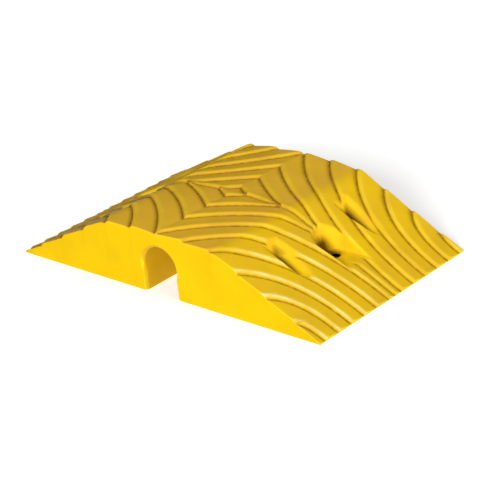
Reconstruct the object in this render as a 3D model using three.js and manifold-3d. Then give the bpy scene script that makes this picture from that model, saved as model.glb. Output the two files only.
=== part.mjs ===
// A cable protector ramp: a yellow moulding that lies across the road, with a channel for cables
// under its crown, a shingled grip relief on top, leaf-shaped scoops in both slopes and two fixing
// holes that are lined with steel. Units are millimetres. X is the driving direction, Y runs along
// the cables and Z is up. The origin is the centre of the underside.
import * as THREE from "three";
import { mergeVertices } from "three/addons/utils/BufferGeometryUtils.js";
import Module from "manifold-3d";

const wasm = await Module();
wasm.setup();

// Driving dimensions of the moulding.
const WIDTH = 430;
const LENGTH = 248;
const HEIGHT = 75;
const PLATEAU_WIDTH = 164;
const PLATEAU_EDGE_HEIGHT = 70.5;
const LIP_HEIGHT = 3.5;
const FOLD_BLEND = 3; // height over which a slope melts into the plateau

// The grip relief: shingles whose steps all face -Y.
const LINE_PITCH = 21.1; // along the two lips
const FIRST_LINE = -2.5; // in pitches from the axis: lines with a negative number end on the axis
const LINE_COUNT = 9; // in each quarter
const LINE_RUN = 20; // how much further in than its rise a line's control point lies
const LINE_RUN_SHARE = 0.8; // the most of its reach that this may be
const LINE_REACH = 15; // how far in from the lip a line of no rise would end
const LINE_REACH_PER_RISE = 1.76;
const STEEPNESS_BEYOND = 1.45; // of the lines beyond the end faces
const STEP_HEIGHT = 3.4;
const NOSE_WIDTH = 5.5; // of the rounded nose of a shingle, square to its edge
const NOSE_POWER = 1.7; // 1 is a chamfer and 2 a quarter round
const NOSE_SHARE = 0.6; // the most of a shingle that its nose may take
const LIP_SKIN = 1; // thickness that a lip keeps under the relief
const FULL_STEP_SPACING = 9; // shingles that are shorter than this are lower too
const NOSE_STATIONS = [0, 0.12, 0.42, 1];
const COLUMN_SPACING = 7;
const COLUMN_GAP = 0.3; // no two columns are closer than this share of the spacing

// The cable channel: a round duct on top of a slightly narrower slot.
const DUCT_RADIUS = 23.2;
const DUCT_CENTRE_HEIGHT = 31.7;
const NECK_HALF_WIDTH = 21.3; // where the slot meets the duct
const SLOT_HALF_WIDTH = 22.1; // at its foot
const CHANNEL_EDGE = 1.2; // chamfer along its bottom edges
const MOUTH_EDGE = 4; // chamfer at its mouths
const DUCT_STEPS = 11;

// The pocket of a fixing hole: a flat seat in a drafted wall, open towards the lip.
const HOLE_X = 134;
const HOLLOW_SHIFT = 4; // the pockets and the scoops all sit this far to +Y of the middle
const SEAT_HEIGHT = 26.3;
const SEAT_RADIUS = 15;
const POCKET_DRAFT = Math.tan(THREE.MathUtils.degToRad(15));
const POCKET_TOP = 66;
const POCKET_END_X = 178;

// The four leaf-shaped scoops beside the pockets.
const SCOOP_START_X = 96;
const SCOOP_TIP_X = 157.5;
const SCOOP_Y = 60;
const SCOOP_HALF_WIDTH = 12.4; // at its uphill end
const SCOOP_BELLY = 0.3; // how much it would widen downhill without its taper
const SCOOP_DEPTH = 13;
const SCOOP_ROOF = 8; // how far the cutter stands over the slope
const SCOOP_TAPER = 0.97; // how nearly its tip comes to a point
const SCOOP_RISE = 0.95; // how nearly its floor comes up to the slope at the tip
const SCOOP_DEEPEST = 0.24; // part of its length from the uphill end
const SCOOP_FLOOR_FROM = -0.78; // the floor's two edges, in half widths from the middle
const SCOOP_FLOOR_TO = -0.4;
const SCOOP_STATIONS = [0, SCOOP_DEEPEST, 0.4, 0.55, 0.7, 0.82, 0.92, 1];

// Steel in the fixing holes.
const BORE_RADIUS = 6.8;
const SLEEVE_RADIUS = 8.8;
const SLEEVE_TOP = 21.5;
const WASHER_RADIUS = 14;
const WASHER_THICKNESS = 2.5;
const CLEARANCE = 0.3;
const ROUND_SEGMENTS = 32;

const HALF_WIDTH = WIDTH / 2;
const HALF_LENGTH = LENGTH / 2;
const PLATEAU_HALF = PLATEAU_WIDTH / 2;
const SLOPE = (PLATEAU_EDGE_HEIGHT - LIP_HEIGHT) / (HALF_WIDTH - PLATEAU_HALF);

// Height of one slope's plane, carried on beyond its ends.
function slopeHeight(x) {
  return LIP_HEIGHT + SLOPE * (HALF_WIDTH - Math.abs(x));
}

// Height of the outer shape across the ramp: a crowned plateau between two slopes.
function outerHeight(x) {
  const crown = HEIGHT - (HEIGHT - PLATEAU_EDGE_HEIGHT) * (x / PLATEAU_HALF) ** 2;
  const slope = slopeHeight(x);
  const blend = Math.max(FOLD_BLEND - Math.abs(crown - slope), 0) / FOLD_BLEND;
  return Math.min(crown, slope) - (blend * blend * FOLD_BLEND) / 4;
}

// One relief line of a quarter is a parabola. It leaves the lip square to it at the distance e from
// the axis, and it reaches the end face further in. reach is how far in, and run is the distance
// of its control point.
function lineShape(index) {
  const e = (FIRST_LINE + index) * LINE_PITCH;
  const rise = HALF_LENGTH - e;
  const reach = LINE_REACH + LINE_REACH_PER_RISE * rise;
  const run = Math.min(LINE_RUN + rise, LINE_RUN_SHARE * reach);
  return { e, rise, run, reach };
}

// The line's distance from the axis at x, and how steeply it runs there. Beyond the end face the
// line goes on straight.
function lineAt({ e, rise, run, reach }, x) {
  const bend = 2 * run - reach;
  const inward = HALF_WIDTH - Math.abs(x);
  const root = Math.sqrt(run ** 2 - bend * Math.min(inward, reach));
  const t = (run - root) / bend;
  const beyond = Math.max(inward - reach, 0) * STEEPNESS_BEYOND;
  return { y: e + t * t * rise + beyond, steepness: (t * rise) / root };
}

const LINE_SHAPES = Array.from({ length: LINE_COUNT }, (_, index) => lineShape(index));

// Every shingle edge that the section at x crosses, from -Y to +Y. The axis has an edge too, except
// in the diamond that the first line encloses. The first edge beyond each end face is kept, because
// the last shingle is cut off by the face.
function edgesAt(x) {
  const quarter = [];
  for (const shape of LINE_SHAPES) {
    const line = lineAt(shape, x);
    if (line.y > 0) quarter.push(line);
    if (line.y >= HALF_LENGTH) break;
  }
  const last = quarter.at(-1);
  if (last.y < HALF_LENGTH) quarter.push({ y: last.y + LINE_PITCH, steepness: last.steepness });
  const below = quarter.map((line) => ({ y: -line.y, steepness: line.steepness })).reverse();
  const inDiamond = lineAt(LINE_SHAPES[0], x).y > 0;
  return [...below, ...(inDiamond ? [] : [{ y: 0, steepness: 0 }]), ...quarter];
}

// How far a shingle's high edge stands over its low edge.
function stepHeight(x, spacing) {
  const atLip = outerHeight(x) - LIP_SKIN;
  return Math.min(STEP_HEIGHT, atLip) * Math.min(1, spacing / FULL_STEP_SPACING);
}

function noseWidth(edge, spacing) {
  return Math.min(NOSE_WIDTH * Math.hypot(1, edge.steepness), NOSE_SHARE * spacing);
}

// Height of the finished top surface. A shingle is highest just behind its rounded nose and runs
// down to the foot of the next one on its +Y side.
function topHeight(x, y, edges = edgesAt(x)) {
  let i = 1;
  while (i < edges.length - 2 && edges[i + 1].y <= y) i += 1;
  if (y < edges[1].y) i = 0;
  const spacing = edges[i + 1].y - edges[i].y;
  const along = (y - edges[i].y) / spacing;
  const before = i > 0 ? edges[i].y - edges[i - 1].y : LINE_PITCH;
  const behindNose = Math.min((y - edges[i].y) / noseWidth(edges[i], spacing), 1);
  const nose = 1 - (1 - (1 - behindNose) ** NOSE_POWER) ** (1 / NOSE_POWER);
  return outerHeight(x) - stepHeight(x, spacing) * along - stepHeight(x, before) * nose;
}

// The places across the ramp where the relief is worked out: evenly spaced ones, and those where
// a line ends on the axis or on an end face.
function columnPlaces() {
  const half = [0, PLATEAU_HALF, HALF_WIDTH];
  for (const { e, rise, run, reach } of LINE_SHAPES) {
    const t = e < 0 ? Math.sqrt(-e / rise) : 1;
    half.push(HALF_WIDTH - 2 * t * (1 - t) * run - t * t * reach);
  }
  const steps = Math.round(HALF_WIDTH / COLUMN_SPACING);
  for (let i = 1; i < steps; i += 1) {
    const place = (i * HALF_WIDTH) / steps;
    if (half.every((other) => Math.abs(other - place) > COLUMN_GAP * COLUMN_SPACING)) half.push(place);
  }
  half.sort((a, b) => a - b);
  return [...half.slice(1).map((x) => -x).reverse(), ...half];
}

// The points of the top surface along the section at x. Every section has the same number of
// points: a line that isn't there is folded onto the end face or the axis.
function sectionPoints(x) {
  const edges = edgesAt(x);
  const lines = LINE_SHAPES.map((shape) => lineAt(shape, x));
  const outside = { y: HALF_LENGTH, steepness: 0 };
  let gone = false;
  const quarter = lines.map((line) => {
    gone = gone || line.y >= HALF_LENGTH;
    return gone ? outside : { y: Math.max(line.y, 0), steepness: line.steepness };
  });
  const mirrored = quarter.map((line) => ({ ...line, y: -line.y })).reverse();
  const feet = [...mirrored, { y: 0, steepness: 0 }, ...quarter];
  const ys = [-HALF_LENGTH];
  feet.forEach((foot, i) => {
    const next = i + 1 < feet.length ? feet[i + 1].y : HALF_LENGTH;
    const spacing = next - foot.y;
    const width = foot.y <= -HALF_LENGTH ? 0 : noseWidth(foot, spacing);
    for (const station of NOSE_STATIONS) ys.push(Math.min(foot.y + station * width, HALF_LENGTH));
  });
  ys.push(HALF_LENGTH);
  return ys.map((y) => new THREE.Vector3(x, y, topHeight(x, y, edges)));
}

// A closed solid from shared points and triangles, turned right way out if need be.
function solidFrom(points, triangles) {
  const shared = new THREE.BufferGeometry().setFromPoints(points);
  shared.setIndex(triangles);
  return solidOf(shared);
}

// A geometry's solid: its points are merged and the triangles that this flattens are dropped.
function solidOf(geometry) {
  const bare = geometry.clone();
  bare.deleteAttribute("normal");
  bare.deleteAttribute("uv");
  const merged = mergeVertices(bare, 1e-4);
  const index = merged.index.array;
  const kept = [];
  for (let i = 0; i < index.length; i += 3) {
    const [a, b, c] = index.slice(i, i + 3);
    if (a !== b && b !== c && c !== a) kept.push(a, b, c);
  }
  const vertProperties = merged.attributes.position.array;
  const made = new wasm.Manifold(
    new wasm.Mesh({ numProp: 3, vertProperties, triVerts: new Uint32Array(kept) }),
  );
  if (made.volume() > 0) return made;
  const turned = new Uint32Array(kept.reverse());
  return new wasm.Manifold(new wasm.Mesh({ numProp: 3, vertProperties, triVerts: turned }));
}

function meshOf(name, solid, material) {
  const { vertProperties, triVerts } = solid.getMesh();
  const geometry = new THREE.BufferGeometry();
  geometry.setAttribute("position", new THREE.BufferAttribute(vertProperties, 3));
  geometry.setIndex(new THREE.BufferAttribute(triVerts, 1));
  geometry.computeVertexNormals();
  const mesh = new THREE.Mesh(geometry, material);
  mesh.name = name;
  return mesh;
}

// A solid between outlines that have the same number of points. place puts a point of the outline
// number level into space.
function loft(outlines, place) {
  const count = outlines[0].length;
  const points = outlines.flatMap((outline, level) => outline.map((point) => place(point, level)));
  const triangles = [];
  for (let level = 0; level + 1 < outlines.length; level += 1) {
    for (let i = 0; i < count; i += 1) {
      const a = level * count + i;
      const b = level * count + ((i + 1) % count);
      triangles.push(a, b, b + count, a, b + count, a + count);
    }
  }
  const top = (outlines.length - 1) * count;
  for (const [a, b, c] of THREE.ShapeUtils.triangulateShape(outlines[0], [])) {
    triangles.push(a, c, b, top + a, top + b, top + c);
  }
  return solidFrom(points, triangles);
}

// The moulding before anything is cut out of it.
function blank() {
  const places = columnPlaces();
  const sections = places.map((x) => {
    const top = sectionPoints(x);
    const foot = (y) => new THREE.Vector3(x, y, 0);
    return [foot(-HALF_LENGTH), ...top, foot(HALF_LENGTH)];
  });
  const count = sections[0].length;
  const triangles = [];
  for (let column = 0; column + 1 < sections.length; column += 1) {
    for (let row = 0; row < count; row += 1) {
      const a = column * count + row;
      const b = column * count + ((row + 1) % count);
      triangles.push(a, a + count, b + count, a, b + count, b);
    }
  }
  const last = (sections.length - 1) * count;
  for (let row = 1; row + 1 < count; row += 1) {
    triangles.push(0, row, row + 1, last, last + row + 1, last + row);
  }
  return solidFrom(sections.flat(), triangles);
}

// Section of the cable channel, widened by grow: a slot that narrows upwards to the round duct.
function channelOutline(grow) {
  const radius = DUCT_RADIUS + grow;
  const half = SLOT_HALF_WIDTH + grow;
  const start = -Math.acos((NECK_HALF_WIDTH + grow) / radius);
  const outline = new THREE.Shape();
  outline.moveTo(-half - CHANNEL_EDGE - 1, -1);
  outline.lineTo(half + CHANNEL_EDGE + 1, -1);
  outline.lineTo(half, CHANNEL_EDGE);
  outline.absarc(0, DUCT_CENTRE_HEIGHT, radius, start, Math.PI - start, false);
  outline.lineTo(-half, CHANNEL_EDGE);
  return outline.extractPoints(DUCT_STEPS).shape;
}

function channel() {
  const outside = HALF_LENGTH + 1;
  const inside = HALF_LENGTH - MOUTH_EDGE;
  const stations = [-outside, -inside, inside, outside];
  const grows = [MOUTH_EDGE + 1, 0, 0, MOUTH_EDGE + 1];
  return loft(grows.map(channelOutline), (point, level) => {
    return new THREE.Vector3(point.x, stations[level], point.y);
  });
}

// The pocket of a fixing hole. side is 1 for the +X slope and -1 for the other.
function pocket(side) {
  const heights = [SEAT_HEIGHT, POCKET_TOP];
  const outlines = heights.map((z) => {
    const radius = SEAT_RADIUS + (z - SEAT_HEIGHT) * POCKET_DRAFT;
    const outline = new THREE.Shape();
    outline.moveTo(POCKET_END_X, HOLLOW_SHIFT - radius);
    outline.lineTo(POCKET_END_X, HOLLOW_SHIFT + radius);
    outline.absarc(HOLE_X, HOLLOW_SHIFT, radius, Math.PI / 2, (3 * Math.PI) / 2, false);
    return outline.extractPoints(ROUND_SEGMENTS / 2).shape;
  });
  return loft(outlines, (point, level) => {
    return new THREE.Vector3(side * point.x, point.y, heights[level]);
  });
}

// A leaf-shaped scoop: blunt at its uphill end, pointed downhill, and deepest near its -Y edge.
function scoop(side, centreY) {
  const length = SCOOP_TIP_X - SCOOP_START_X;
  const sections = SCOOP_STATIONS.map((along) => {
    const taper = (1 - SCOOP_TAPER * along ** 4) ** 0.7;
    const half = SCOOP_HALF_WIDTH * (1 + SCOOP_BELLY * along) * taper;
    const beyond = Math.max(along - SCOOP_DEEPEST, 0) / (1 - SCOOP_DEEPEST);
    const depth = SCOOP_DEPTH * Math.min(along / SCOOP_DEEPEST, 1 - SCOOP_RISE * beyond ** 1.6);
    return [
      new THREE.Vector2(-half, SCOOP_ROOF),
      new THREE.Vector2(-half, 0),
      new THREE.Vector2(SCOOP_FLOOR_FROM * half, -depth),
      new THREE.Vector2(SCOOP_FLOOR_TO * half, -depth),
      new THREE.Vector2(half, 0),
      new THREE.Vector2(half, SCOOP_ROOF),
    ];
  });
  return loft(sections, (point, level) => {
    const x = SCOOP_START_X + SCOOP_STATIONS[level] * length;
    return new THREE.Vector3(side * x, centreY + point.x, slopeHeight(x) + point.y);
  });
}

// A ring or a disc about the Z axis.
function ring(inner, outer, bottom, top) {
  const profile = [
    new THREE.Vector2(inner, bottom),
    new THREE.Vector2(outer, bottom),
    new THREE.Vector2(outer, top),
    new THREE.Vector2(inner, top),
  ];
  if (inner > 0) profile.push(profile[0].clone());
  return new THREE.LatheGeometry(profile, ROUND_SEGMENTS).rotateX(Math.PI / 2);
}

function standing(geometry, x) {
  return solidOf(geometry.translate(x, HOLLOW_SHIFT, 0));
}

const WASHER_BOTTOM = SLEEVE_TOP + CLEARANCE;
const WASHER_TOP = WASHER_BOTTOM + WASHER_THICKNESS;

// The space that a fixing hole takes in the moulding: the bore, and the seats of its steel.
function fixingSpace(side) {
  const x = side * HOLE_X;
  const bore = standing(ring(0, BORE_RADIUS, 1, SEAT_HEIGHT + 1), x);
  const sleeveSeat = standing(ring(0, SLEEVE_RADIUS + CLEARANCE, -1, WASHER_BOTTOM), x);
  const washerSeat = standing(
    ring(0, WASHER_RADIUS + CLEARANCE, WASHER_BOTTOM - CLEARANCE, WASHER_TOP + CLEARANCE),
    x,
  );
  return bore.add(sleeveSeat).add(washerSeat);
}

function rampBody() {
  let body = blank().subtract(channel());
  for (const side of [-1, 1]) {
    body = body.subtract(pocket(side)).subtract(fixingSpace(side));
    for (const centreY of [HOLLOW_SHIFT - SCOOP_Y, HOLLOW_SHIFT + SCOOP_Y]) {
      body = body.subtract(scoop(side, centreY));
    }
  }
  return body;
}

const yellow = new THREE.MeshStandardMaterial({ color: 0xf0bd0a, roughness: 0.55, metalness: 0 });
const zinc = new THREE.MeshStandardMaterial({ color: 0xa9adb0, roughness: 0.4, metalness: 1 });

const ramp = new THREE.Group();
ramp.add(meshOf("ramp_body", rampBody(), yellow));
for (const [label, side] of [["left", -1], ["right", 1]]) {
  const x = side * HOLE_X;
  const sleeve = standing(ring(BORE_RADIUS, SLEEVE_RADIUS, CLEARANCE, SLEEVE_TOP), x);
  const washer = standing(ring(BORE_RADIUS, WASHER_RADIUS, WASHER_BOTTOM, WASHER_TOP), x);
  ramp.add(meshOf(`fixing_sleeve_${label}`, sleeve, zinc.clone()));
  ramp.add(meshOf(`fixing_washer_${label}`, washer, zinc.clone()));
}

export default ramp;
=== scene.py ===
"""A cable protector ramp: one yellow moulding that lies across a road.

Cables run along Y through a keyhole channel under the crown. The top has a shingled grip relief whose
steps all face -Y, a pocket with a fixing hole in each slope, and a leaf-shaped scoop on both sides of
each pocket. Each fixing hole is lined with a steel sleeve under a washer. Lengths are in metres, X is
the driving direction, Z is up, and the origin is the centre of the underside.
"""

import math

import bmesh
import bpy
import numpy as np
from mathutils import Matrix, Vector

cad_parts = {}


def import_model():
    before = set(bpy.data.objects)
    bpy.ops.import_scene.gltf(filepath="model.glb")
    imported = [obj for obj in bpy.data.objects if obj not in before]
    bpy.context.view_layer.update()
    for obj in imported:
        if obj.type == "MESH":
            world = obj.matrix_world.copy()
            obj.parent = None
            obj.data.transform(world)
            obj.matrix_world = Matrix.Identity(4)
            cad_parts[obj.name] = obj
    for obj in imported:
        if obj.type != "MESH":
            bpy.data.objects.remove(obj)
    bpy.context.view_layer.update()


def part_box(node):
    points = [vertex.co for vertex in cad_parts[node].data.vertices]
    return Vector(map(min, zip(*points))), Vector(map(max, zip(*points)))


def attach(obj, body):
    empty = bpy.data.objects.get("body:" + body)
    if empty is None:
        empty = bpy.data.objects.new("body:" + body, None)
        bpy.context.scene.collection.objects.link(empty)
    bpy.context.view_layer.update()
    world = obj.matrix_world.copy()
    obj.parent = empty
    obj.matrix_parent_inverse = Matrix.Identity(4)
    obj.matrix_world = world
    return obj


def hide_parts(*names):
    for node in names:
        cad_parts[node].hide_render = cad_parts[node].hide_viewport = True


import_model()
BODY_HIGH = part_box("ramp_body")[1]
MM = 0.001

# Driving sizes of the moulding, from the frame where it holds them.
HALF_WIDTH = BODY_HIGH.x
HALF_LENGTH = BODY_HIGH.y
CREST_HEIGHT = 75 * MM
PLATEAU_HALF = 82 * MM
PLATEAU_EDGE_HEIGHT = 70.5 * MM
LIP_HEIGHT = 3.5 * MM
SLOPE = (PLATEAU_EDGE_HEIGHT - LIP_HEIGHT) / (HALF_WIDTH - PLATEAU_HALF)
FOLD_BLEND = 3 * MM
END_ROUND = 1.4 * MM
LIP_ROUND = 0.8 * MM
THINNEST = 0.2 * MM  # of the moulding at the rounded lips

# The grip relief.
LINE_PITCH = 21.1 * MM
FIRST_LINE = -2.5
LINE_COUNT = 9
LINE_RUN = 20 * MM
LINE_RUN_SHARE = 0.8
LINE_REACH = 15 * MM
LINE_REACH_PER_RISE = 1.76
STEEPNESS_BEYOND = 1.45
STEP_HEIGHT = 3.4 * MM
NOSE_WIDTH = 5.5 * MM
NOSE_POWER = 1.7
NOSE_SHARE = 0.6
LIP_SKIN = 1 * MM
FULL_STEP_SPACING = 9 * MM

# How finely the top is divided.
NOSE_ROWS = 9
TREAD_ROWS = 18
ROUND_ROWS = 5
WIDE_COLUMN = 2.8 * MM
FINE_COLUMN = 0.85 * MM
FINE_FROM = 96 * MM
FINE_TO = 172 * MM
LEAST_COLUMN = 0.12 * MM
MERGE_WITHIN = 0.002 * MM

# The cable channel.
DUCT_RADIUS = 23.2 * MM
DUCT_CENTRE_HEIGHT = 31.7 * MM
NECK_HALF_WIDTH = 21.3 * MM
SLOT_HALF_WIDTH = 22.1 * MM
MOUTH_ROUND = 4.3 * MM
MOUTH_ROWS = 8
FOOT_ROUND = 1.2 * MM
DUCT_POINTS = 28
CUT_BEYOND = 2 * MM  # how far the cutters reach out of the moulding

# The pockets and their fixing holes.
HOLE_X = (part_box("fixing_washer_right")[0].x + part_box("fixing_washer_right")[1].x) / 2
HOLLOW_SHIFT = 4 * MM
SEAT_HEIGHT = 26.3 * MM
SEAT_RADIUS = 15 * MM
POCKET_DRAFT = math.tan(math.radians(15))
POCKET_RIM = 2.6 * MM
SEAT_FILLET = 0.5 * MM
BORE_RADIUS = 6.8 * MM
BORE_ROUND = 0.8 * MM
STEEL_GAP = 0.15 * MM  # half of the CAD's gap around the steel
SLEEVE_CHAMFER = 0.4 * MM
WASHER_CHAMFER = 0.3 * MM
RING_SEGMENTS = 72

# The scoops.
SCOOP_START = 96 * MM
SCOOP_TIP = 157.5 * MM
SCOOP_Y = 60 * MM
SCOOP_HALF_WIDTH = 12.4 * MM
SCOOP_BELLY = 0.3
SCOOP_DEPTH = 13 * MM
SCOOP_DEEPEST = 0.24
SCOOP_TAPER = 0.97
SCOOP_TAPER_POWER = 4
SCOOP_TIP_POWER = 0.7
SCOOP_RISE = 0.95
SCOOP_RISE_POWER = 1.6
SCOOP_NEAR_FOOT = 0.22
SCOOP_FAR_FOOT = 1.4
SCOOP_LEAST_WALL = 0.5 * MM
SCOOP_RIM = 1.0 * MM
SCOOP_VALLEY = 1.6 * MM

# Where the top gets painted shade in its creases, hollows and channel and on its -X slope, painted
# highlights on its noses and a painted sheen on its plateau.
PAINTS = ("groove", "nose", "shine", "hollow", "face", "slope_shade", "plateau_sheen")
# The painted shade along the creases at the foot of each step.
GROOVE_WIDTH = 1.4 * MM
GROOVE_WIDER = 2.6 * MM  # in addition, for the painted shadow where the step faces -X
FOOT_SHADE_WIDTH = 0.8 * MM
OPEN_DEPTH = 1.5 * MM  # deeper than this is no longer the open top
NOSE_AT = 4 * MM
NOSE_SPREAD = 2.6 * MM
CREST_AT = 3.4 * MM
CREST_SPREAD = 1.5 * MM
# Where the painted highlight lies on the nose crests: on the +X slope, more towards -Y.
HIGHLIGHT_FROM = 80 * MM
HIGHLIGHT_FADE = 30 * MM
HIGHLIGHT_LENGTH = 60 * MM
HIGHLIGHT_MIDDLE = 0.2
HIGHLIGHT_LEAST = 0.1
# The painted sheen on the plateau, weaker on the noses.
PLATEAU_SHEEN_FADE = 10 * MM
NOSE_SHEEN_LOSS = 0.5
# The painted shade on the -X slope.
SLOPE_SHADE_FADE = 12 * MM
CHANNEL_SHADE = 0.36  # how dark the painted shade on the channel's walls is
CHANNEL_DEPTH = 8 * MM
HOLLOW_BASE = 1 * MM
FACE_SKIN = 0.01 * MM
SAME_COLUMN = 1e-7
# how much painted highlight the noses get
NOSE_HIGHLIGHT_SHARE = 0.7
SPECK_SHARE = 0.1
# how dark the painted shade in the hollows gets
HOLLOW_SHADE_SHARE = 0.92
SHINE_SMOOTHER = 0.2
GROOVE_ROUGHER = 0.3

# The painted shade in the hollows: where it starts, and over how much it darkens.
PAST_HOLE = 10 * MM
PAST_HOLE_FADE = 8 * MM
POCKET_SIDE = 14 * MM
POCKET_SIDE_FADE = 10 * MM
POCKET_SHADE_DEPTH = 8 * MM
POCKET_SHADE_FADE = 8 * MM
SCOOP_SHADE_DEPTH = 4 * MM
SCOOP_SHADE_FADE = 6 * MM

# Colours of the moulding.
MOTTLE_DARK = (0.86, 0.525, 0.020)
MOTTLE_LIGHT = (0.98, 0.615, 0.008)
SPECK = (0.72, 0.43, 0.01)
# painted highlight on the noses
NOSE_HIGHLIGHT_COLOUR = (1.0, 0.70, 0.04)
# painted highlight on the nose crests
CREST_HIGHLIGHT_COLOUR = (1.0, 0.88, 0.38)
# painted sheen on the plateau
PLATEAU_SHEEN_COLOUR = (0.98, 0.49, 0.11)
# painted shade: the end faces' darker yellow
END_FACE_SHADE_DARK = (0.71, 0.45, 0.001)
END_FACE_SHADE_LIGHT = (0.78, 0.505, 0.002)
# painted shade on the -X slope
SLOPE_SHADE_COLOUR = (0.27, 0.12, 0.02)
# painted shade in the creases
CREASE_SHADE_COLOUR = (0.16, 0.060, 0.001)
# painted shade in the hollows and the channel
HOLLOW_SHADE_COLOUR = (0.10, 0.035, 0.002)
PLASTIC_SPECULAR = 0.02

# Colours of the steel.
ZINC_DARK = (0.48, 0.49, 0.50)
ZINC_LIGHT = (0.62, 0.62, 0.61)
ZINC_STAIN = (0.50, 0.46, 0.36)
# painted shade in the bore
BORE_SHADE_COLOUR = (0.035, 0.03, 0.028)

# The stage. The floor's glow grows between two distances from the ramp, so that it ends up white.
# The camera is the one that fits the outline in the photograph.
FLOOR_DARK = (0.86, 0.86, 0.86)
FLOOR_LIGHT = (0.88, 0.88, 0.88)
NEAR_GLOW = 0.46
FAR_GLOW = 0.85
GLOW_FROM = 0.24
GLOW_TO = 0.7
FLOOR_HALF = 4.0
FLOOR_DROP = 0.05 * MM
CAMERA_PLACE = Vector((1.25232, -1.31784, 0.84416))
CAMERA_TARGET = Vector((0.0328, -0.0240, 0.0258))
CAMERA_ROLL = math.radians(-5.802)
CAMERA_LENS = 132.9
CAMERA_SENSOR = 36
CAMERA_NEAR = 0.05
CAMERA_FAR = 50


def slope_height(x):
    """Height of a slope's plane, carried on beyond its ends."""
    return LIP_HEIGHT + SLOPE * (HALF_WIDTH - np.abs(x))


def soft_min(a, b, width):
    """The lower of a and b, with their meeting rounded over that width."""
    near = np.maximum(width - np.abs(a - b), 0)
    return np.minimum(a, b) - near**2 / (4 * width)


def outer_height(x):
    """Height across the ramp of the crowned plateau and its two slopes, before the relief."""
    crown = CREST_HEIGHT - (CREST_HEIGHT - PLATEAU_EDGE_HEIGHT) * (x / PLATEAU_HALF) ** 2
    return soft_min(crown, slope_height(x), FOLD_BLEND)


def line_shapes():
    """One quarter's relief lines: parabolas, each from its place e on the lip to the end face."""
    shapes = []
    for index in range(LINE_COUNT):
        e = (FIRST_LINE + index) * LINE_PITCH
        rise = HALF_LENGTH - e
        reach = LINE_REACH + LINE_REACH_PER_RISE * rise
        run = min(LINE_RUN + rise, LINE_RUN_SHARE * reach)
        shapes.append((e, rise, run, reach))
    return shapes


LINES = line_shapes()


def line_at(shape, x):
    """Distance of a relief line from the axis at x, and how steeply it runs there."""
    e, rise, run, reach = shape
    bend = 2 * run - reach
    inward = HALF_WIDTH - abs(x)
    root = math.sqrt(run**2 - bend * min(inward, reach))
    t = (run - root) / bend
    return e + t * t * rise + max(inward - reach, 0) * STEEPNESS_BEYOND, t * rise / root


def edges_at(x):
    """Every shingle edge across the section at x as (y, steepness), from beyond -Y to beyond +Y."""
    quarter = []
    for shape in LINES:
        y, steepness = line_at(shape, x)
        if y > 0:
            quarter.append((y, steepness))
        if y >= HALF_LENGTH:
            break
    if quarter[-1][0] < HALF_LENGTH:
        quarter.append((quarter[-1][0] + LINE_PITCH, quarter[-1][1]))
    axis = [] if line_at(LINES[0], x)[0] > 0 else [(0.0, 0.0)]
    return [(-y, s) for y, s in reversed(quarter)] + axis + quarter


def step_height(x, spacing):
    """How far a shingle's high edge stands over its low edge."""
    full = min(STEP_HEIGHT, float(outer_height(x)) - LIP_SKIN)
    return full * np.minimum(1, spacing / FULL_STEP_SPACING)


def nose_width(steepness, spacing):
    return np.minimum(NOSE_WIDTH * np.hypot(1, steepness), NOSE_SHARE * spacing)


def section(x, y):
    """The relief along the section at x: its height at each y, the distances to the shingle's own
    edge and to the next one, square to them, and how much the next step faces -X."""
    edges = edges_at(x)
    place = np.array([e[0] for e in edges])
    steep = np.array([e[1] for e in edges])
    i = np.clip(np.searchsorted(place, y, side="right") - 1, 0, len(edges) - 2)
    spacing = place[i + 1] - place[i]
    before = np.where(i > 0, place[i] - place[np.maximum(i - 1, 0)], LINE_PITCH)
    along = (y - place[i]) / spacing
    behind = np.clip((y - place[i]) / nose_width(steep[i], spacing), 0, 1)
    nose = 1 - (1 - (1 - behind) ** NOSE_POWER) ** (1 / NOSE_POWER)
    height = outer_height(x) - step_height(x, spacing) * along - step_height(x, before) * nose
    own = (y - place[i]) / np.hypot(1, steep[i])
    following = (place[i + 1] - y) / np.hypot(1, steep[i + 1])
    facing = steep[i + 1] / np.hypot(1, steep[i + 1]) * (x * place[i + 1] > 0)
    return height, own, following, facing


def pocket_height(x, y):
    """Height of the flat seat and the drafted wall of the pockets, which open towards the lips."""
    away = np.hypot(np.minimum(np.abs(x) - HOLE_X, 0), y - HOLLOW_SHIFT) - SEAT_RADIUS
    return SEAT_HEIGHT - soft_min(-away, 0, SEAT_FILLET) / POCKET_DRAFT


def scoop_height(x, y):
    """Height of the scoops' surfaces: an uphill facet, a steep near wall, a floor and a far wall."""
    along = (np.abs(x) - SCOOP_START) / (SCOOP_TIP - SCOOP_START)
    inside = np.clip(along, 0, 1)
    taper = 1 - SCOOP_TAPER * inside**SCOOP_TAPER_POWER
    half = SCOOP_HALF_WIDTH * (1 + SCOOP_BELLY * inside) * taper**SCOOP_TIP_POWER
    across = y - HOLLOW_SHIFT - np.sign(y) * SCOOP_Y
    beyond = np.maximum(along - SCOOP_DEEPEST, 0) / (1 - SCOOP_DEEPEST)
    floor = SCOOP_DEPTH * (1 - SCOOP_RISE * beyond**SCOOP_RISE_POWER)
    uphill = SCOOP_DEPTH * along / SCOOP_DEEPEST
    wall = np.maximum(floor, SCOOP_LEAST_WALL) / half
    near = (across + half) * wall / SCOOP_NEAR_FOOT
    far = (half - across) * wall / SCOOP_FAR_FOOT
    depth = soft_min(soft_min(uphill, far, 0.5 * SCOOP_VALLEY), floor, SCOOP_VALLEY)
    return slope_height(x) - soft_min(depth, near, SCOOP_VALLEY)


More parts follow.
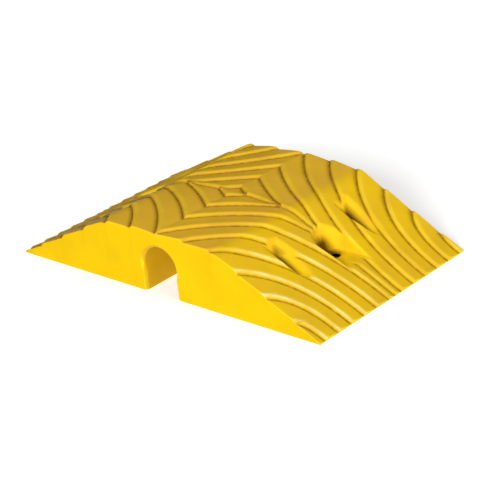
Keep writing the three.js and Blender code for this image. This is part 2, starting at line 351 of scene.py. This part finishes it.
def cut_into(surface, hollow, x, y, radius):
    """The lower of the surface and a hollow, with the rim between them rounded to that radius."""
    reach = 0.05 * MM
    bottom = hollow(x, y)
    along_x = (hollow(x + reach, y) - hollow(x - reach, y)) / (2 * reach)
    along_y = (hollow(x, y + reach) - hollow(x, y - reach)) / (2 * reach)
    a = 1 / math.hypot(1, SLOPE)
    b = 1 / np.sqrt(1 + along_x**2 + along_y**2)
    p = radius - a * surface
    q = radius - b * bottom
    half_b = a * p + b * q
    inside = half_b**2 - (a**2 + b**2) * (p**2 + q**2 - radius**2)
    rounded = (np.sqrt(np.maximum(inside, 0)) - half_b) / (a**2 + b**2)
    on_rim = (inside > 0) & (a * rounded + p > 0) & (b * rounded + q > 0)
    lower = np.minimum(surface, bottom)
    return np.where(on_rim, np.minimum(rounded, lower), lower)


def edge_drop(inward, radius):
    """How far a rounded edge lies under the surface at that distance from the face."""
    left = np.clip(radius - inward, 0, radius)
    return radius - np.sqrt(radius**2 - left**2)


def top_height(x, y):
    """Height of the finished top along the section at x."""
    height = section(x, y)[0]
    ones = np.full_like(y, x)
    height = cut_into(height, scoop_height, ones, y, SCOOP_RIM)
    height = cut_into(height, pocket_height, ones, y, POCKET_RIM)
    height = height - edge_drop(HALF_LENGTH - np.abs(y), END_ROUND)
    height = height - edge_drop(HALF_WIDTH - abs(x), LIP_ROUND)
    return np.maximum(height, THINNEST)


def round_stations(radius, rows=ROUND_ROWS):
    """Distances from a face at which a rounded edge is divided."""
    return [radius * (1 - math.cos(k * math.pi / 2 / rows)) for k in range(rows + 1)]


def column_places():
    """Places across the ramp of the top's columns. A line's end on the axis or a face has its own."""
    half = [HALF_WIDTH - q for q in round_stations(LIP_ROUND)] + [0.0]
    for e, rise, run, reach in LINES:
        t = math.sqrt(-e / rise) if e < 0 else 1
        half.append(HALF_WIDTH - 2 * t * (1 - t) * run - t * t * reach)
    last = HALF_WIDTH - LIP_ROUND
    for start, end, step in (
        (0, FINE_FROM, WIDE_COLUMN),
        (FINE_FROM, FINE_TO, FINE_COLUMN),
        (FINE_TO, last, WIDE_COLUMN),
    ):
        count = round((end - start) / step)
        places = [start + (end - start) * k / count for k in range(count + 1)]
        half += [p for p in places if min(abs(p - h) for h in half) > LEAST_COLUMN]
    half.sort()
    return [-x for x in reversed(half[1:])] + half


def row_places(x):
    """Places along Y of one column's points. They follow the relief lines, and a line that isn't
    there is folded onto the axis or an end, so every column has the same number of them."""
    inner = HALF_LENGTH - END_ROUND
    quarter = []
    gone = False
    for shape in LINES:
        y, steepness = line_at(shape, x)
        gone = gone or y >= inner
        quarter.append((inner, 0.0) if gone else (max(y, 0.0), steepness))
    feet = [(-y, s) for y, s in reversed(quarter)] + [(0.0, 0.0)] + quarter + [(inner, 0.0)]
    angles = np.linspace(0, math.pi / 2, NOSE_ROWS)
    tread = np.arange(1, TREAD_ROWS + 1) / (TREAD_ROWS + 1)
    ys = [[q - HALF_LENGTH for q in round_stations(END_ROUND)]]
    ys.append(-inner + (feet[0][0] + inner) * tread)
    for (foot, steepness), (following, _) in zip(feet, feet[1:]):
        width = float(nose_width(steepness, following - foot)) if foot > -inner else 0.0
        ys.append(np.minimum(foot + (1 - np.cos(angles)) * width, inner))
        ys.append(foot + width + (following - foot - width) * tread)
    ys.append([HALF_LENGTH - q for q in reversed(round_stations(END_ROUND))])
    return np.concatenate(ys)


def new_object(name, mesh):
    made = bpy.data.objects.new(name, mesh)
    bpy.context.scene.collection.objects.link(made)
    return made


def mesh_from(name, points, faces):
    """A mesh whose coinciding points are merged, with its faces turned outwards."""
    mesh = bpy.data.meshes.new(name)
    mesh.from_pydata(points, [], faces)
    grown = bmesh.new()
    grown.from_mesh(mesh)
    bmesh.ops.remove_doubles(grown, verts=grown.verts, dist=MERGE_WITHIN)
    bmesh.ops.recalc_face_normals(grown, faces=grown.faces)
    grown.to_mesh(mesh)
    grown.free()
    return mesh


def blank_mesh():
    """The moulding before its channel and bores are cut: the top as a grid, walls and a flat base."""
    xs = column_places()
    columns = []
    for x in xs:
        y = row_places(x)
        columns.append(np.stack([np.full_like(y, x), y, top_height(x, y)], axis=1))
    grid = np.array(columns)
    count, rows = grid.shape[:2]
    index = np.arange(count * rows).reshape(count, rows)
    around = np.concatenate([index[:, 0], index[-1, 1:], index[-2::-1, -1], index[0, -2:0:-1]])
    points = grid.reshape(-1, 3)
    foot = points[around] * (1, 1, 0)
    a, b = index[:-1, :-1].ravel(), index[1:, :-1].ravel()
    c, d = index[1:, 1:].ravel(), index[:-1, 1:].ravel()
    faces = np.stack([a, b, c, d], axis=1).tolist()
    low = len(points) + np.arange(len(around))
    turned = np.roll(around, -1), np.roll(low, -1)
    faces += np.stack([low, turned[1], turned[0], around], axis=1).tolist()
    middle = len(points) + len(around)
    faces += [(middle, int(q), int(p)) for p, q in zip(low, turned[1])]
    every = np.concatenate([points, foot, [(0, 0, 0)]])
    return mesh_from("blank", every.tolist(), faces)


def loft(name, outlines):
    """A closed solid through outlines that have the same number of points."""
    count = len(outlines[0])
    points = [p for outline in outlines for p in outline]
    faces = []
    for level in range(len(outlines) - 1):
        for i in range(count):
            j = (i + 1) % count
            low, high = level * count, (level + 1) * count
            faces.append((low + i, low + j, high + j, high + i))
    faces.append(tuple(range(count)))
    faces.append(tuple(range(len(points) - count, len(points))))
    return new_object(name, mesh_from(name, points, faces))


def channel_outline(y, grow):
    """The keyhole section at y, widened by grow: rounded feet, a slot and a round duct over it."""
    half = SLOT_HALF_WIDTH + grow
    radius = DUCT_RADIUS + grow
    right = [(half + FOOT_ROUND, -CUT_BEYOND)]
    for k in range(ROUND_ROWS + 1):
        angle = k * math.pi / 2 / ROUND_ROWS
        x = half + FOOT_ROUND * (1 - math.sin(angle))
        right.append((x, FOOT_ROUND * (1 - math.cos(angle))))
    start = -math.acos((NECK_HALF_WIDTH + grow) / radius)
    turns = np.linspace(start, math.pi / 2, DUCT_POINTS)
    right += [(radius * math.cos(t), DUCT_CENTRE_HEIGHT + radius * math.sin(t)) for t in turns]
    left = [(-x, z) for x, z in reversed(right[:-1])]
    return [(x, y, z) for x, z in right + left]


def channel_cutter():
    """The space of the channel, flared to rounded mouths at both end faces."""
    stations = [(q, float(edge_drop(q, MOUTH_ROUND))) for q in round_stations(MOUTH_ROUND, MOUTH_ROWS)]
    front = [(-HALF_LENGTH - CUT_BEYOND, MOUTH_ROUND)] + [(q - HALF_LENGTH, g) for q, g in stations]
    levels = front + [(-y, g) for y, g in reversed(front)]
    return loft("channel_cutter", [channel_outline(y, grow) for y, grow in levels])


def revolved(name, profile, x):
    """A solid turned about the hole's line at x from its (radius, z) profile, which is a loop."""
    points, faces = [], []
    for k in range(RING_SEGMENTS):
        turn = 2 * math.pi * k / RING_SEGMENTS
        along, across = math.cos(turn), math.sin(turn)
        points += [(x + r * along, HOLLOW_SHIFT + r * across, z) for r, z in profile]
    count = len(profile)
    for k in range(RING_SEGMENTS):
        here, there = k * count, (k + 1) % RING_SEGMENTS * count
        for i in range(count):
            j = (i + 1) % count
            faces.append((here + i, there + i, there + j, here + j))
    return new_object(name, mesh_from(name, points, faces))


def hole_cutter(side):
    """The space of one fixing hole: sleeve, washer, and a bore with a rounded rim in the seat."""
    sleeve_low, sleeve_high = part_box(f"fixing_sleeve_{side}")
    washer_low, washer_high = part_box(f"fixing_washer_{side}")
    x = (washer_low.x + washer_high.x) / 2
    sleeve = (sleeve_high.x - sleeve_low.x) / 2 + STEEL_GAP
    washer = (washer_high.x - washer_low.x) / 2 + STEEL_GAP
    profile = [
        (0, -CUT_BEYOND),
        (sleeve, -CUT_BEYOND),
        (sleeve, washer_low.z - STEEL_GAP),
        (washer, washer_low.z - STEEL_GAP),
        (washer, washer_high.z + STEEL_GAP),
        (BORE_RADIUS, washer_high.z + STEEL_GAP),
    ]
    for k in range(ROUND_ROWS + 1):
        turn = k * math.pi / 2 / ROUND_ROWS
        r = BORE_RADIUS + BORE_ROUND * (1 - math.cos(turn))
        profile.append((r, SEAT_HEIGHT - BORE_ROUND * (1 - math.sin(turn))))
    top = SEAT_HEIGHT + CUT_BEYOND
    profile += [(BORE_RADIUS + BORE_ROUND, top), (0, top)]
    return revolved(f"hole_cutter_{side}", profile, x)


def subtract(body, cutter):
    """Cuts the cutter out of the body, and removes the cutter."""
    modifier = body.modifiers.new("cut", "BOOLEAN")
    modifier.operation = "DIFFERENCE"
    modifier.solver = "MANIFOLD"
    modifier.object = cutter
    evaluated = body.evaluated_get(bpy.context.evaluated_depsgraph_get())
    cut = bpy.data.meshes.new_from_object(evaluated)
    body.modifiers.clear()
    body.data = cut
    bpy.data.objects.remove(cutter)


def shade_by_angle(piece, degrees=35):
    """Smooth shading that stays sharp over edges that bend more than that. Faces that are square to
    an axis stay flat."""
    grown = bmesh.new()
    grown.from_mesh(piece.data)
    limit = math.radians(degrees)
    for face in grown.faces:
        face.smooth = max(abs(part) for part in face.normal) < 0.9999
    for edge in grown.edges:
        edge.smooth = len(edge.link_faces) == 2 and edge.calc_face_angle(0) < limit
    grown.to_mesh(piece.data)
    grown.free()
    weighted = piece.modifiers.new("even_normals", "WEIGHTED_NORMAL")
    weighted.keep_sharp = True


def share(distance, width):
    """How far a distance has come through a fade of that width, from 0 to 1."""
    return np.clip(distance / width, 0, 1)


def bell(value, middle, width):
    """1 in the middle, and falling off over that width on both sides of it."""
    return np.exp(-(((value - middle) / width) ** 2))


def hollow_shade_at(x, y, depth):
    """How much painted shade falls at that depth in a scoop, or in a pocket on the -Y side above its
    hole.
    """
    across = y - HOLLOW_SHIFT
    above_hole = share(HOLE_X + PAST_HOLE - abs(x), PAST_HOLE_FADE)
    in_pocket = share(POCKET_SIDE - across, POCKET_SIDE_FADE) * above_hole
    in_pocket = in_pocket * share(depth - POCKET_SHADE_DEPTH, POCKET_SHADE_FADE)
    in_scoop = share(depth - SCOOP_SHADE_DEPTH, SCOOP_SHADE_FADE)
    in_slope = SCOOP_START - SCOOP_RIM < abs(x) < SCOOP_TIP
    return np.where(np.abs(across) < SCOOP_Y / 2, in_pocket, in_scoop) * in_slope


def paint_at(x, y, z):
    """What the material is told of the points at x: how near each is to the foot of a step, for the
    painted shade in the creases, and to the crest of a nose, how much painted highlight that crest
    gets on the +X slope, how much painted shade a hollow holds there, whether it is on an end face,
    how much painted shade lies on it, which is on the -X slope, and how much painted sheen it gets,
    which is on the plateau."""
    height, own, following, facing = section(x, y)
    depth = height - z
    open_top = np.clip(1 - depth / OPEN_DEPTH, 0, 1) * (z > THINNEST)
    # painted shade along each step's crease, widened as painted shadow where the step faces -X
    groove = bell(following, 0, GROOVE_WIDTH + GROOVE_WIDER * facing) + np.exp(-own / FOOT_SHADE_WIDTH)
    nose = bell(own, NOSE_AT, NOSE_SPREAD) * open_top
    # painted highlight on the nose crests, on the +X slope and more towards -Y
    along = np.clip(HIGHLIGHT_MIDDLE - y / HIGHLIGHT_LENGTH, HIGHLIGHT_LEAST, 1)
    highlit = share(x - HIGHLIGHT_FROM, HIGHLIGHT_FADE) * along
    shine = bell(own, CREST_AT, CREST_SPREAD) * open_top * highlit
    outside = np.abs(y) > HALF_LENGTH - FACE_SKIN
    # painted shade on the channel's walls
    in_channel = CHANNEL_SHADE * (abs(x) < DUCT_RADIUS + FOOT_ROUND) * (depth > CHANNEL_DEPTH)
    # painted shade in the hollows and the channel
    inside = np.maximum(hollow_shade_at(x, y, depth), in_channel)
    hollow = np.where(outside | (z < HOLLOW_BASE), 0, inside)
    # painted shade on the -X slope
    slope_shade = open_top * share(-x - PLATEAU_HALF, SLOPE_SHADE_FADE)
    # painted sheen on the plateau
    plateau_sheen = open_top * (1 - NOSE_SHEEN_LOSS * nose) * share(PLATEAU_HALF - abs(x), PLATEAU_SHEEN_FADE)
    return np.clip(groove, 0, 1) * open_top, nose, shine, hollow, outside, slope_shade, plateau_sheen


def paint_relief(mesh):
    """Stores what paint_at gives at each point as attributes that the material reads."""
    co = np.zeros(len(mesh.vertices) * 3)
    mesh.vertices.foreach_get("co", co)
    co = co.reshape(-1, 3)
    painted = np.zeros((len(PAINTS), len(co)))
    order = np.argsort(co[:, 0], kind="stable")
    new_column = np.nonzero(np.diff(co[order, 0]) > SAME_COLUMN)[0] + 1
    for group in np.split(order, new_column):
        painted[:, group] = paint_at(co[group[0], 0], co[group, 1], co[group, 2])
    for name, values in zip(PAINTS, painted):
        layer = mesh.attributes.new(name, "FLOAT", "POINT")
        layer.data.foreach_set("value", values.astype(np.float32))


class Nodes:
    """A material's node tree, with short ways to add to it."""

    def __init__(self, name):
        self.material = bpy.data.materials.new(name)
        self.material.use_nodes = True
        self.tree = self.material.node_tree
        self.shader = self.tree.nodes["Principled BSDF"]
        self.place = self.add("ShaderNodeTexCoord").outputs["Object"]

    def add(self, kind, **settings):
        node = self.tree.nodes.new(kind)
        for key, value in settings.items():
            setattr(node, key, value)
        return node

    def link(self, source, target):
        self.tree.links.new(source, target)

    def noise(self, size, detail=3.0, roughness=0.55):
        """Noise whose patches are about that many metres across."""
        node = self.add("ShaderNodeTexNoise")
        node.inputs["Scale"].default_value = 1 / size
        node.inputs["Detail"].default_value = detail
        node.inputs["Roughness"].default_value = roughness
        self.link(self.place, node.inputs["Vector"])
        return node.outputs["Fac"]

    def patches(self, size, detail, to_low=0.0, to_high=1.0):
        """Noise whose usual range is stretched to to_low..to_high."""
        return self.spread(self.noise(size, detail), 0.3, 0.7, to_low, to_high)

    def spread(self, value, low, high, to_low=0.0, to_high=1.0):
        """Maps value from low..high to to_low..to_high, and holds it there."""
        node = self.add("ShaderNodeMapRange")
        for name, number in (
            ("From Min", low),
            ("From Max", high),
            ("To Min", to_low),
            ("To Max", to_high),
        ):
            node.inputs[name].default_value = number
        self.link(value, node.inputs["Value"])
        return node.outputs["Result"]

    def attribute(self, name):
        return self.add("ShaderNodeAttribute", attribute_name=name).outputs["Fac"]

    def math(self, operation, a, b):
        node = self.add("ShaderNodeMath", operation=operation)
        for socket, value in zip(node.inputs, (a, b)):
            if isinstance(value, (int, float)):
                socket.default_value = value
            else:
                self.link(value, socket)
        return node.outputs[0]

    def mix(self, factor, a, b, blend="MIX"):
        """Mixes two colours, each a tuple or a socket."""
        node = self.add("ShaderNodeMix", data_type="RGBA", blend_type=blend)
        self.link(factor, node.inputs[0])
        for socket, value in ((node.inputs[6], a), (node.inputs[7], b)):
            if isinstance(value, tuple):
                socket.default_value = (*value, 1)
            else:
                self.link(value, socket)
        return node.outputs[2]

    def bump(self, height, distance, strength, normal=None):
        node = self.add("ShaderNodeBump")
        node.inputs["Distance"].default_value = distance
        node.inputs["Strength"].default_value = strength
        self.link(height, node.inputs["Height"])
        if normal is not None:
            self.link(normal, node.inputs["Normal"])
        return node.outputs["Normal"]


def yellow_moulding():
    """Satin moulded polyurethane: mottled yellow, painted shade in the creases, hollows and channel
    and on the -X slope, painted highlights on the noses, a painted sheen on the plateau, and end faces
    given a darker yellow as painted shade."""
    nodes = Nodes("yellow_moulding")
    clouds = nodes.patches(45 * MM, 2)
    colour = top_colour(nodes, clouds)
    # painted shade: the end faces get a darker yellow
    end_face_shade = nodes.mix(clouds, END_FACE_SHADE_DARK, END_FACE_SHADE_LIGHT)
    colour = nodes.mix(nodes.attribute("face"), colour, end_face_shade)
    colour = shaded_colour(nodes, colour)
    nodes.link(colour, nodes.shader.inputs["Base Color"])
    rough = nodes.patches(9 * MM, 3, 0.40, 0.50)
    smoother = nodes.math("MULTIPLY", nodes.attribute("shine"), SHINE_SMOOTHER)
    rough = nodes.math("SUBTRACT", rough, smoother)
    rougher = nodes.math("MULTIPLY", nodes.attribute("groove"), GROOVE_ROUGHER)
    rough = nodes.math("ADD", rough, rougher)
    nodes.link(rough, nodes.shader.inputs["Roughness"])
    nodes.shader.inputs["Specular IOR Level"].default_value = PLASTIC_SPECULAR
    waves = nodes.bump(nodes.noise(14 * MM, 2), 0.5 * MM, 0.25)
    grain = nodes.bump(nodes.noise(0.7 * MM, 3), 0.08 * MM, 0.35, waves)
    nodes.link(grain, nodes.shader.inputs["Normal"])
    return nodes.material


def top_colour(nodes, clouds):
    """The mottled yellow of the top, with painted highlights on the noses and their crests and a
    painted sheen on the plateau.
    """
    specks = nodes.spread(nodes.noise(1.2 * MM, 4), 0.35, 0.65)
    colour = nodes.mix(clouds, MOTTLE_DARK, MOTTLE_LIGHT)
    colour = nodes.mix(nodes.math("MULTIPLY", specks, SPECK_SHARE), colour, SPECK)
    # painted highlight on the noses
    nose_highlight = nodes.math("MULTIPLY", nodes.attribute("nose"), clouds)
    colour = nodes.mix(nodes.math("MULTIPLY", nose_highlight, NOSE_HIGHLIGHT_SHARE), colour, NOSE_HIGHLIGHT_COLOUR)
    # painted highlight on the nose crests
    patches = nodes.spread(nodes.noise(22 * MM, 2), 0.38, 0.62, 0.25, 0.85)
    crest_highlight = nodes.math("MULTIPLY", nodes.attribute("shine"), patches)
    colour = nodes.mix(crest_highlight, colour, CREST_HIGHLIGHT_COLOUR)
    # painted sheen on the plateau
    sheen_patches = nodes.patches(18 * MM, 4, 0.14, 0.34)
    sheen_patches = nodes.math("MULTIPLY", nodes.attribute("plateau_sheen"), sheen_patches)
    return nodes.mix(sheen_patches, colour, PLATEAU_SHEEN_COLOUR)


def shaded_colour(nodes, colour):
    """The colour under painted shade on the -X slope, in the creases and in the hollows."""
    # painted shade on the -X slope
    slope_shade_patches = nodes.patches(25 * MM, 3, 0.26, 0.58)
    slope_shade_patches = nodes.math("MULTIPLY", nodes.attribute("slope_shade"), slope_shade_patches)
    colour = nodes.mix(slope_shade_patches, colour, SLOPE_SHADE_COLOUR)
    # painted shade in the creases
    crease_shade = nodes.patches(6 * MM, 4, 0.55, 0.9)
    crease_shade = nodes.math("MULTIPLY", nodes.attribute("groove"), crease_shade)
    colour = nodes.mix(crease_shade, colour, CREASE_SHADE_COLOUR)
    # painted shade in the hollows and the channel
    hollow_shade = nodes.math("MULTIPLY", nodes.attribute("hollow"), HOLLOW_SHADE_SHARE)
    return nodes.mix(hollow_shade, colour, HOLLOW_SHADE_COLOUR)


def zinc_steel():
    """Zinc plate over turned steel: cloudy spangle, a few stains, a fine grain and painted shade in
    the bore.
    """
    nodes = Nodes("zinc_steel")
    colour = nodes.mix(nodes.patches(3 * MM, 4), ZINC_DARK, ZINC_LIGHT)
    stain = nodes.spread(nodes.noise(9 * MM, 3), 0.55, 0.75, 0, 0.35)
    colour = nodes.mix(stain, colour, ZINC_STAIN)
    # painted shade in the bore
    colour = nodes.mix(nodes.attribute("bore"), colour, BORE_SHADE_COLOUR)
    nodes.link(colour, nodes.shader.inputs["Base Color"])
    nodes.shader.inputs["Metallic"].default_value = 1
    nodes.link(nodes.patches(1 * MM, 4, 0.32, 0.5), nodes.shader.inputs["Roughness"])
    nodes.link(nodes.bump(nodes.noise(0.4 * MM, 2), 0.03 * MM, 0.4), nodes.shader.inputs["Normal"])
    return nodes.material


def pale_floor():
    """A matt floor that glows more away from the ramp, so that it ends up white."""
    nodes = Nodes("pale_floor")
    colour = nodes.mix(nodes.patches(0.4, 2), FLOOR_DARK, FLOOR_LIGHT)
    nodes.link(colour, nodes.shader.inputs["Base Color"])
    nodes.shader.inputs["Roughness"].default_value = 0.9
    nodes.shader.inputs["Emission Color"].default_value = (1, 1, 1, 1)
    away = nodes.add("ShaderNodeVectorMath", operation="LENGTH")
    nodes.link(nodes.place, away.inputs[0])
    glow = nodes.spread(away.outputs["Value"], GLOW_FROM, GLOW_TO, NEAR_GLOW, FAR_GLOW)
    nodes.link(glow, nodes.shader.inputs["Emission Strength"])
    return nodes.material


def finish_piece(piece, slot, material, *nodes):
    piece.data.materials.clear()
    piece.data.materials.append(material)
    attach(piece, "root")
    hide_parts(*nodes)


def ramp_body():
    body = new_object("ramp_moulding", blank_mesh())
    for cutter in (channel_cutter(), hole_cutter("left"), hole_cutter("right")):
        subtract(body, cutter)
    paint_relief(body.data)
    shade_by_angle(body)
    return body


def chamfered_ring(name, node, bore, chamfer):
    """A ring with chamfered edges that fills a CAD ring's box."""
    low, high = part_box(node)
    outer = (high.x - low.x) / 2
    profile = [
        (bore, low.z + chamfer),
        (bore + chamfer, low.z),
        (outer - chamfer, low.z),
        (outer, low.z + chamfer),
        (outer, high.z - chamfer),
        (outer - chamfer, high.z),
        (bore + chamfer, high.z),
        (bore, high.z - chamfer),
    ]
    ring = revolved(name, profile, (low.x + high.x) / 2)
    # marks the inner faces for the painted shade in the bore
    layer = ring.data.attributes.new("bore", "FLOAT", "POINT")
    for vertex, value in zip(ring.data.vertices, layer.data):
        across = math.hypot(vertex.co.x - (low.x + high.x) / 2, vertex.co.y - HOLLOW_SHIFT)
        value.value = 1.0 if across < bore + 2 * chamfer else 0.0
    shade_by_angle(ring, 30)
    return ring


def steel_parts(material):
    for side in ("left", "right"):
        for part, chamfer in (("sleeve", SLEEVE_CHAMFER), ("washer", WASHER_CHAMFER)):
            node = f"fixing_{part}_{side}"
            ring = chamfered_ring(f"{part}_{side}", node, BORE_RADIUS, chamfer)
            finish_piece(ring, "zinc_steel", material, node)


def floor():
    signs = ((-1, -1), (1, -1), (1, 1), (-1, 1))
    corners = [(a * FLOOR_HALF, b * FLOOR_HALF, -FLOOR_DROP) for a, b in signs]
    mesh = bpy.data.meshes.new("floor")
    mesh.from_pydata(corners, [], [(0, 1, 2, 3)])
    made = new_object("floor", mesh)
    mesh.materials.append(pale_floor())


def area_light(name, azimuth, elevation, distance, size, power):
    """A softbox that faces the ramp. Azimuth 0 is in front of it, at -Y, and 90 at +X."""
    turn, lift = math.radians(azimuth), math.radians(elevation)
    level = math.cos(lift)
    away = Vector((math.sin(turn) * level, -math.cos(turn) * level, math.sin(lift)))
    data = bpy.data.lights.new(name, "AREA")
    data.shape = "RECTANGLE"
    data.size, data.size_y = size
    data.energy = power
    light = new_object(name, data)
    light.location = away * distance
    light.rotation_euler = away.to_track_quat("Z", "Y").to_euler()


def world(strength):
    made = bpy.data.worlds.new("studio")
    made.use_nodes = True
    made.node_tree.nodes["Background"].inputs["Color"].default_value = (1, 1, 1, 1)
    made.node_tree.nodes["Background"].inputs["Strength"].default_value = strength
    bpy.context.scene.world = made


def camera():
    data = bpy.data.cameras.new("camera")
    data.lens = CAMERA_LENS
    data.sensor_width = CAMERA_SENSOR
    data.clip_start = CAMERA_NEAR
    data.clip_end = CAMERA_FAR
    made = new_object("camera", data)
    back = (CAMERA_PLACE - CAMERA_TARGET).normalized()
    turn = back.to_track_quat("Z", "Y").to_matrix().to_4x4()
    made.matrix_world = Matrix.Translation(CAMERA_PLACE) @ turn @ Matrix.Rotation(CAMERA_ROLL, 4, "Z")
    bpy.context.scene.camera = made


finish_piece(ramp_body(), "yellow_moulding", yellow_moulding(), "ramp_body")
steel_parts(zinc_steel())
floor()
area_light("key", azimuth=24, elevation=24, distance=5.5, size=(1.8, 1.4), power=250)
area_light("side", azimuth=92, elevation=47, distance=9.0, size=(4.5, 4.5), power=345)
world(strength=0.05)
camera()
bpy.context.scene.view_settings.view_transform = "Standard"
